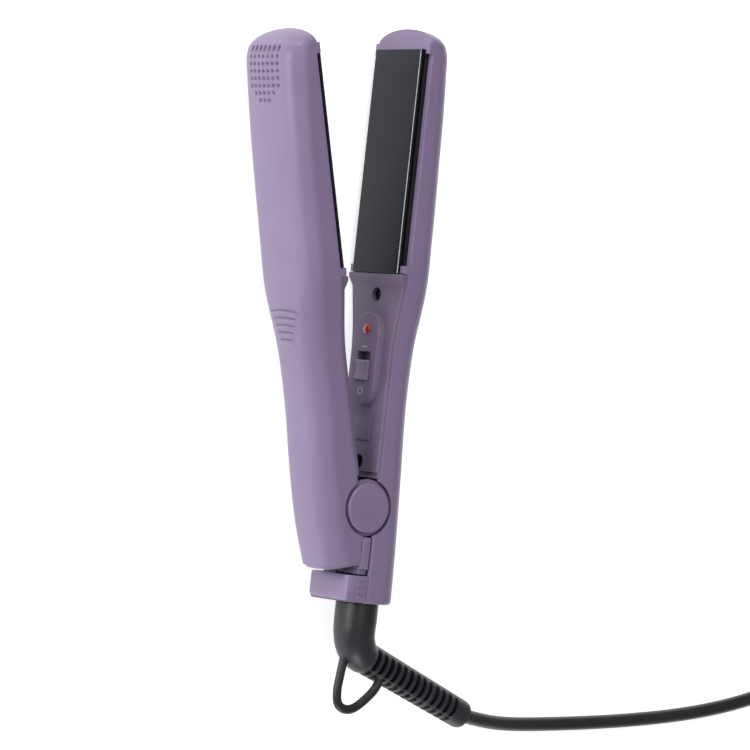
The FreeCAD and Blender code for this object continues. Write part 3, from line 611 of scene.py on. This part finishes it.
def lid_section(top, half, bottom=9.0, radius=0.9, steps=5):
    """The cover's section: a flat top, two rounded edges and straight sides, as points (h, w)."""
    turn = np.linspace(0, math.pi / 2, steps)
    edge_h = top + radius * (1 - np.sin(turn))
    edge_w = half - radius + radius * np.cos(turn)
    h = np.concatenate([[bottom], edge_h, edge_h[::-1], [bottom]])
    w = np.concatenate([[half], edge_w, -edge_w[::-1], [-half]])
    return np.column_stack([h, w])


def round_pit(place, across, h_low, h_high, radius, side, steps=40):
    """A closed cylinder along h for cutting a recess."""
    turn = np.linspace(0, 2 * math.pi, steps, endpoint=False)
    circle = np.column_stack([place + radius * np.cos(turn), across + radius * np.sin(turn)])
    loops = [np.column_stack([np.full(steps, h), circle]) for h in (h_low, h_high)]
    return surface("pit", on_arm(np.array(loops), side))


COVER_START, COVER_END, COVER_TOP = 15.0, 119.0, 3.0
SCREWS = (108.3, 23.0)


def inner_cover(side):
    """Top height along l: a step at the hinge, the long flat, then a slope up to the lip."""
    place = np.concatenate([[COVER_START, 15.3, 17.8, 18.2], np.arange(20, 112, 4.0),
                            [112.2, 112.8], np.linspace(113.2, 117, 8),
                            [117.3, COVER_END - 0.3, COVER_END]])
    top = np.interp(place, [15, 15.3, 17.8, 18.2, 112.3, 113, 116.6, 117.2, 118.7, 119],
                    [4.4, 4.0, 4.0, COVER_TOP, COVER_TOP, 2.75, 0.55, 0.4, 0.4, 0.65])
    half = half_width(place) - 0.06
    return swept("cover", place, [lid_section(t, w) for t, w in zip(top, half)], side)


for arm, side in (("main", MAIN), ("lever", LEVER)):
    cover = piece(f"{arm}_cover", inner_cover(side), grained, f"{arm}_inner_cover")
    carve(cover, *[round_pit(place, 0, -2, 7.0, 3.7, side) for place in SCREWS])
pad = block("pad", (2.4, 34.0, -7.0), (3.6, 46.0, 7.0), 0.3, MAIN)
piece("cover_pad", pad, flat_mauve, "main_inner_cover", replaces=False)
print("cover screws at", SCREWS, "mm from the hinge")

# %% [markdown]
# ## Switch, marks and pilot light
# The switch sits in an oval bezel on the main arm's inner face: a sliding thumb knob with a
# hollowed top, a short line and a small ring for on and off, and a red dome that lights up.
# The bezel is one outline, offset and lifted ring by ring, so its sides have real draft.

# %% Switch, marks and pilot light
def stadium(middle, half_length, half_width, steps=24):
    """Outline (l, w): two half circles joined by straight sides."""
    turn = np.linspace(-math.pi / 2, math.pi / 2, steps)
    straight = half_length - half_width
    l = np.concatenate([middle + straight + half_width * np.cos(turn),
                        middle - straight - half_width * np.cos(turn)])
    w = np.concatenate([half_width * np.sin(turn), -half_width * np.sin(turn)])
    return np.column_stack([l, w])


def raised_oval(name, middle, half_length, half_width, profile, side):
    """The outline grown by each offset of the profile and placed at each height h."""
    loops = []
    for grow, h in profile:
        ring = stadium(middle, half_length + grow, half_width + grow)
        loops.append(np.column_stack([np.full(len(ring), h), ring]))
    return surface(name, on_arm(np.array(loops), side))


def round_on_face(name, middle, across, profile, side, steps=40):
    """A profile (radius, h) turned about an axis that stands on the arm's face."""
    turn = np.linspace(0, 2 * math.pi, steps, endpoint=False)
    loops = [np.column_stack([np.full(steps, h), middle + r * np.cos(turn),
                              across + r * np.sin(turn)]) for r, h in profile]
    return surface(name, on_arm(np.array(loops), side))


BEZEL_MIDDLE, LAMP, OFF_MARK = 75.5, 90.2, 58.6
KNOB_LOW, KNOB_HIGH, KNOB_FACE = 64.2, 74.5, -2.5

bezel_profile = [(0.75, 4.0), (0.65, 2.95), (0.05, -0.25), (-0.08, -0.5), (-0.3, -0.66),
                 (-0.6, -0.7)]
oval = raised_oval("surround", BEZEL_MIDDLE, 23.5, 9.55, bezel_profile, MAIN)
bezel = piece("switch_surround", oval, flat_mauve, "switch_bezel")
carve(bezel, block("slot", (-3.0, 64.0, -5.3), (3.6, 78.9, 5.3), 0.3, MAIN),
      round_pit(LAMP, 0, -3, 3.6, 2.6, MAIN))

knob_l = np.concatenate([KNOB_LOW + np.array([0, 0.2, 0.6]), np.linspace(65.3, 73.4, 20),
                         KNOB_HIGH - np.array([0.6, 0.2, 0])])
share = (knob_l - (KNOB_LOW + KNOB_HIGH) / 2) / ((KNOB_HIGH - KNOB_LOW) / 2)
knob_top = KNOB_FACE + 1.0 * (1 - share ** 2) + 0.9 * np.abs(share) ** 14
knob_sections = [lid_section(top, 5.0, 3.5, 0.5) for top in knob_top]
piece("thumb_knob", swept("knob", knob_l, knob_sections, MAIN), thumb, "switch_knob")
dome_profile = [(2.55, 4.0)] + [(2.55 * math.cos(t) + 0.01, -0.75 - 1.15 * math.sin(t))
                                for t in np.linspace(0, math.pi / 2, 10)]
piece("pilot_dome", round_on_face("dome", LAMP, 0, dome_profile, MAIN), red_lens, "indicator_lens")
on_line = block("on", (-0.8, 81.0, -2.2), (0.2, 81.7, 2.2), 0.12, MAIN)
piece("on_line", on_line, mark, "switch_bezel", replaces=False)
ring_profile = [(2.1, 0.2), (2.1, -0.8), (2.0, -0.86), (1.5, -0.86), (1.4, -0.8), (1.4, 0.2)]
off_ring = round_on_face("off", OFF_MARK, 0, ring_profile, MAIN)
piece("off_ring", off_ring, mark, "switch_bezel", replaces=False)
print("switch knob travels", joints["switch_slide"]["range_m"][1] / MM, "mm")

# %% [markdown]
# ## Heated plates
# Each plate is a thin slab with a dark ceramic coat.  Its long edges are painted as light metal, a
# painted highlight that draws their bright edge lines.  An attribute on the points says where this
# painted highlight lies, and the material reads it.

# %% Heated plates
def paint_edge_highlight(mesh, side):
    """The painted edge highlight: 1 on the rounded long edges of the face, and 0 on the face and on
    the flanks.
    """
    points = np.empty(len(mesh.vertices) * 3)
    mesh.vertices.foreach_get("co", points)
    x, y, z = (points.reshape(-1, 3) - PIVOT).T / MM
    outward = side * x * math.cos(OPENING / 2) - y * math.sin(OPENING / 2)
    level = np.clip((np.abs(z) - 18.5) / 0.1, 0, 1) * (outward < 0.5)
    edge_highlight = mesh.attributes.new("edge_highlight", "FLOAT", "POINT")
    edge_highlight.data.foreach_set("value", level.astype(np.float32))


PLATE_HALF, PLATE_FACE, PLATE_BACK, PLATE_ROUND = 18.75, 0.1, 1.9, 0.55
END_GAP, END_ROUND = 0.3, 0.5


def plate(side):
    """A flat slab with rounded long edges; its face dips over the last half millimetre."""
    turn = np.linspace(0, math.pi / 2, 6)
    reach, fall = END_ROUND * (1 - np.cos(turn)), END_ROUND * (1 - np.sin(turn))
    l = np.concatenate([PLATE_LOW + END_GAP + reach, np.linspace(121, 232, 12),
                        (PLATE_HIGH - END_GAP - reach)[::-1]])
    dip = np.concatenate([fall, np.zeros(12), fall[::-1]])
    return swept("plate", l, [lid_section(PLATE_FACE + d, PLATE_HALF, PLATE_BACK, PLATE_ROUND, 7)
                              for d in dip], side)


for arm, side in (("main", MAIN), ("lever", LEVER)):
    slab = plate(side)
    paint_edge_highlight(slab, side)
    piece(f"{arm}_plate", slab, plate_finish, f"{arm}_heating_plate")
print("plates", PLATE_HIGH - PLATE_LOW, "by", 2 * PLATE_HALF, "mm")

# %% [markdown]
# ## Hinge discs and the closing lock
# The hinge ends in a round disc on each side, with a shadow groove about it.  A disc is a
# turned part, so its surface is a profile turned about the hinge axis.

# %% Hinge discs and the closing lock
def turned(name, profile, steps=96):
    """A profile (radius, height over the middle plane) turned about the hinge axis."""
    turn = np.linspace(0, 2 * math.pi, steps, endpoint=False)
    loops = [np.column_stack([r * np.cos(turn), r * np.sin(turn), np.full(steps, z)])
             for r, z in profile]
    return surface(name, beside_hinge(np.array(loops)))


disc_edge = [(11.85 + 0.8 * math.cos(t), 16.5 + 0.8 * math.sin(t))
             for t in np.linspace(0, math.pi / 2, 6)]
disc_profile = np.array([(0.01, 10.0), (12.4, 10.0), (12.65, 10.3), (12.65, 14.0), (12.65, 16.3)]
                        + disc_edge + [(9.0, 17.34), (5.0, 17.38), (0.01, 17.4)])
flange_profile = np.array([(12.0, 13.5), (14.4, 13.5), (14.45, 13.6), (14.45, 14.2), (14.4, 14.3),
                           (12.0, 14.3)])
for label, flip in (("near", 1), ("far", -1)):
    disc = joined_meshes("disc", [turned("cap", disc_profile * (1, flip)),
                                  turned("flange", flange_profile * (1, flip))])
    piece(f"{label}_disc", disc, satin, f"{label}_hinge_disc")

half_outer = np.array([(4.8, 16.5), (-2.0, 16.5), (-6.6, 15.95), (-7.4, 15.5), (-8.0, 14.6),
                       (-8.2, 13.4)])
half_inner = np.array([(4.8, -15.3), (-2.0, -15.3), (-6.2, -14.6)])
outer = np.concatenate([half_outer, half_outer[::-1] * (1, -1)])
u_section = np.concatenate([outer, half_inner, half_inner[::-1] * (1, -1)])
flanks, face = slice(0, len(outer)), slice(3, 9)
lock_l = np.array([-48.2, -47.9, -46.9, -45.9, -34.9, -34.5])
shrink = np.array([2.4, 1.9, 0.8, 0.0, 0.0, 0.25])
lock_loops = []
for pull in shrink:
    loop = u_section.copy()
    loop[flanks, 1] -= np.sign(loop[flanks, 1]) * pull * 0.7
    loop[face, 0] += pull
    lock_loops.append(loop)
lock_meshes = [swept("slider", lock_l, lock_loops, MAIN)]
FIRST_RIB, RIB_PITCH, RIB_WIDTH = -36.9, 3.05, 1.35
for number in range(4):
    start = FIRST_RIB - RIB_PITCH * number
    for flank in (1, -1):
        low = (-1.5, start, 15.6 if flank > 0 else -16.95)
        high = (4.2, start + RIB_WIDTH, 16.95 if flank > 0 else -15.6)
        lock_meshes.append(block("rib", low, high, 0.42, MAIN, "lwh"))
piece("closing_lock", joined_meshes("lock", lock_meshes), satin, "lock_slider")
lock_core = joined_meshes("core", [
    block("tongue", (-8.0, -37.0, -5), (-6.4, -31.4, 5), 0.5, MAIN),
    block("carriage", (-6.1, -45.0, -14.5), (4.6, -37.0, 14.5), 0.5, MAIN)])
piece("lock_core", lock_core, black, "lock_slider", replaces=False)
strip = joined_meshes("strip", [
    block("face", (-1.2, -31.2, -16.4), (4.05, -14.9, 16.4), 0.4, MAIN),
    block("root", (-1.0, -33.9, -15.0), (4.05, -30.8, 15.0), 0.3, MAIN)])
piece("tail_strip", strip, satin, "main_tail_cover")
# painted shade: a black block under the recessed strip darkens the groove around it
groove_shade = block("groove_shade", (3.6, -33.8, -15.2), (5.6, -15.0, 15.2), 0.3, MAIN)
piece("strip_groove_shade", groove_shade, black, "main_tail_cover", replaces=False)
print("lock slides", joints["lock_slide"]["range_m"][1] / MM, "mm")

# %% [markdown]
# ## Cord, coil and strain relief
# The mains cord is a fixed length of round lead.  Its route is a NURBS spline through the
# same few points as the model's route, with the put-away length wound in a coil beside the
# object.  The tube is a ring of points carried along the line that the spline gives.

# %% Cord, coil and strain relief
def line_through(points):
    """Points along a NURBS spline that has the given metres as its control points."""
    curve = bpy.data.curves.new("line", "CURVE")
    curve.dimensions, curve.resolution_u = "3D", 6
    spline = curve.splines.new("NURBS")
    spline.points.add(len(points) - 1)
    spline.points.foreach_set("co", np.column_stack([points, np.ones(len(points))]).ravel())
    spline.order_u, spline.use_endpoint_u = 3, True
    holder = bpy.data.objects.new("line", curve)
    mesh = bpy.data.meshes.new_from_object(holder)
    line = np.empty(len(mesh.vertices) * 3)
    mesh.vertices.foreach_get("co", line)
    bpy.data.objects.remove(holder)
    return line.reshape(-1, 3)


def ring_axes(line):
    """Two unit directions square to the line at each point: one level, and one that looks up."""
    tangent = np.gradient(line, axis=0)
    tangent /= np.linalg.norm(tangent, axis=1, keepdims=True)
    across = np.cross(tangent, (0, 0, 1))
    across /= np.linalg.norm(across, axis=1, keepdims=True)
    return across, np.cross(across, tangent)


def tube_along(name, line, radius, steps, wide=1.0, hollow=None):
    """Rings about a line: radius is a number, or an array of (points, steps)."""
    turn = np.linspace(0, 2 * math.pi, steps, endpoint=False)[None, :, None]
    across, lift = ring_axes(line)
    radius = np.broadcast_to(np.asarray(radius, float), (len(line), steps))[..., None]
    ring = across[:, None] * (np.cos(turn) * wide) + lift[:, None] * np.sin(turn)
    return surface(name, line[:, None] + ring * radius, hollow)


def run_along(line):
    """Distance from the line's start to each of its points."""
    return np.concatenate([[0], np.cumsum(np.linalg.norm(np.diff(line, axis=0), axis=1))])


def from_table(points):
    """Millimetres beside the hinge axis and above the table, turned into metres."""
    return np.asarray(points, float) * MM + PIVOT * (1, 1, 0)


ELBOW = np.array([2.08, -73.97, 22.5])
RELIEF_WAY = np.array([0.8795, -0.4656, -0.0970])
RELIEF_WAY /= np.linalg.norm(RELIEF_WAY)
RELIEF_START = np.array([10.9, -78.6, 21.5])
RELIEF_LENGTH, CORD_RADIUS = 79.0, 3.75

relief_tip = RELIEF_START + RELIEF_WAY * (RELIEF_LENGTH - 0.5)
lying_run = [(98, -120.6, 10.2), (119, -124.4, 6.6), (143, -126.6, 5.2), (170, -128.4, 5.05),
             (200, -129.8, 5.05), (231, -130.3, 5.05), (261, -129.4, 5.05), (290, -126.4, 5.05),
             (318, -121, 5.05), (345, -117.4, 5.05)]
COIL_X, COIL_Y, COIL_TURNS, PER_TURN = 352, -72, 6.25, 14
turns = np.arange(1, COIL_TURNS * PER_TURN + 0.5) / PER_TURN
coil_angle = math.radians(-90) + 2 * math.pi * turns
coil_radius = np.interp(turns, [0, 2, 3, 5, COIL_TURNS], [45, 30, 30, 45, 45])
coil_height = np.interp(turns, [0, 2.7, 3.1, COIL_TURNS], [5.05, 5.05, 12.55, 12.55])
coil = np.column_stack([COIL_X + coil_radius * np.cos(coil_angle),
                        COIL_Y + coil_radius * np.sin(coil_angle), coil_height])
tail_run = [(396.9, -62, 12.3), (395.8, -46, 10.6), (395, -33, 9), (395, -20, 9)]
route = from_table(np.concatenate([[relief_tip], lying_run, coil, tail_run]))
cord_line = line_through(route)
cord_tube = tube_along("cord", cord_line, CORD_RADIUS * MM, 16)
cord = piece("mains_cord", cord_tube, sheath, "power_cord", rides=False)
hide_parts("cord_tail", "cord_coil")
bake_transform(cord)

# %% [markdown]
# ## Swivel neck, ribbed relief and hanging loop
# The cord leaves through a round neck that turns on the arm, and a ribbed rubber sleeve.  The
# sleeve is a tube whose radius is a function of place and angle: slots sunk for flexibility, with a
# spine and a thin bar left standing across them.

# %% Swivel neck, ribbed relief and hanging loop
def arm_point(h, along):
    """A point on the main arm's middle plane: millimetres beside the hinge, above the table."""
    return (on_arm([h, along, 0], MAIN) - PIVOT * (1, 1, 0)) / MM


NECK_HEIGHT = 12.1
bend = np.linspace(0, 1, 18)[:, None]
knuckle, sleeve = arm_point(NECK_HEIGHT, -61), RELIEF_START + RELIEF_WAY * 0.5
bent = (1 - bend) ** 2 * knuckle + 2 * bend * (1 - bend) * ELBOW + bend ** 2 * sleeve
straight = [arm_point(NECK_HEIGHT, l) for l in (-47.0, -47.3, -48.0, -50, -53, -56, -58.5)]
neck_line = np.concatenate([straight, bent])
neck_run = run_along(neck_line)
neck_radius = np.interp(neck_run / neck_run[-1],
                        [0, 0.012, 0.04, 0.3, 0.45, 0.75, 0.9, 0.97, 1.0],
                        [10.2, 10.7, 11.0, 11.0, 10.8, 10.2, 9.4, 8.9, 8.5])
neck = tube_along("knuckle", from_table(neck_line), neck_radius[:, None] * MM, 64)
piece("swivel_knuckle", neck, rubber, "swivel_neck")

FIRST_SLOT, SLOT_PITCH, SLOTS, SLOT_FLOOR = 2.5, 5.27, 13, 5.6
relief_run = np.linspace(-3.0, RELIEF_LENGTH, 340)
relief_line = RELIEF_START + RELIEF_WAY * relief_run[:, None]
nearest = np.clip(np.round((relief_run - FIRST_SLOT) / SLOT_PITCH), 0, SLOTS - 1)
from_slot = np.abs(relief_run - nearest * SLOT_PITCH - FIRST_SLOT)
slot_mask = np.clip((1.5 - from_slot) / 0.3, 0, 1)[:, None]
turn = np.linspace(0, 2 * math.pi, 96, endpoint=False)[None]
spine = np.clip((0.52 - np.abs(turn - math.radians(157))) / 0.08, 0, 1)
bars = np.clip((0.13 - np.abs(turn - math.radians(43))) / 0.05, 0, 1) * 0.8
sunk = slot_mask * (1 - np.maximum(spine, bars))
outer_radius = np.interp(relief_run, [-3, 4, 76, 78, 79], [8.5, 8.4, 7.6, 7.3, 6.2])[:, None]
relief_radius = outer_radius - sunk * (outer_radius - SLOT_FLOOR)
# painted shade: the sunk slots are darkened through the hollow attribute
relief = tube_along("relief", from_table(relief_line), relief_radius * MM, 96, hollow=sunk)
piece("ribbed_relief", relief, rubber, "strain_relief")

loop_points = [(-2, -74, 22.5), (-5, -84, 22.5), (-8, -95, 22.5), (-7, -102.5, 22.5),
               (1, -105.2, 22.5), (11, -100, 22.5), (19, -93.5, 22.5), (22, -86, 22.5)]
loop_line = line_through(from_table(loop_points))
piece("hang_loop", tube_along("loop", loop_line, 2.0 * MM, 20, 1.2), rubber, "hanging_loop")
print("relief", RELIEF_LENGTH, "mm with", SLOTS, "slots")

# %% [markdown]
# ## The plain solids that stay
# Screws, springs, brackets, carriers, heaters, the lever arm's tail cover, the cord's tie and the
# plug keep their modelled shape.  They get the finish of their slot; the screws, deep in their
# recesses, get near-black steel, a painted shade for the dark recesses.

# %% The plain solids that stay
finish_of_slot = {
    "shell": satin, "lock": satin, "knob": thumb, "carrier": black, "plate": plate_finish,
    "heater": heater_film, "lens": red_lens, "board": board_green, "switch": black,
    "steel": steel, "rubber": rubber, "cord": sheath, "neck": rubber, "tie": strap,
    "plug": rubber, "brass": brass, "lead": sleeving}
kept = [name for name in frame["nodes"] if not bpy.data.objects[name].hide_render]
for name in kept:
    # painted shade: screws get near-black steel for the shade deep in their recesses
    finish = dark_steel if "screws" in name else finish_of_slot[slot_of[name]]
    for held in bpy.data.objects[name].material_slots:
        held.material = finish.material
print("solids kept:", ", ".join(kept))

# %% [markdown]
# ## Floor and finish
# A large pale plane stands for the table.

# %% Floor and finish
floor_mesh = bpy.data.meshes.new("floor")
floor_mesh.from_pydata([(-4, -4, 0), (4, -4, 0), (4, 4, 0), (-4, 4, 0)], [], [(0, 1, 2, 3)])
floor = bpy.data.objects.new("floor", floor_mesh)
floor.data.materials.append(table_top.material)
bpy.context.scene.collection.objects.link(floor)
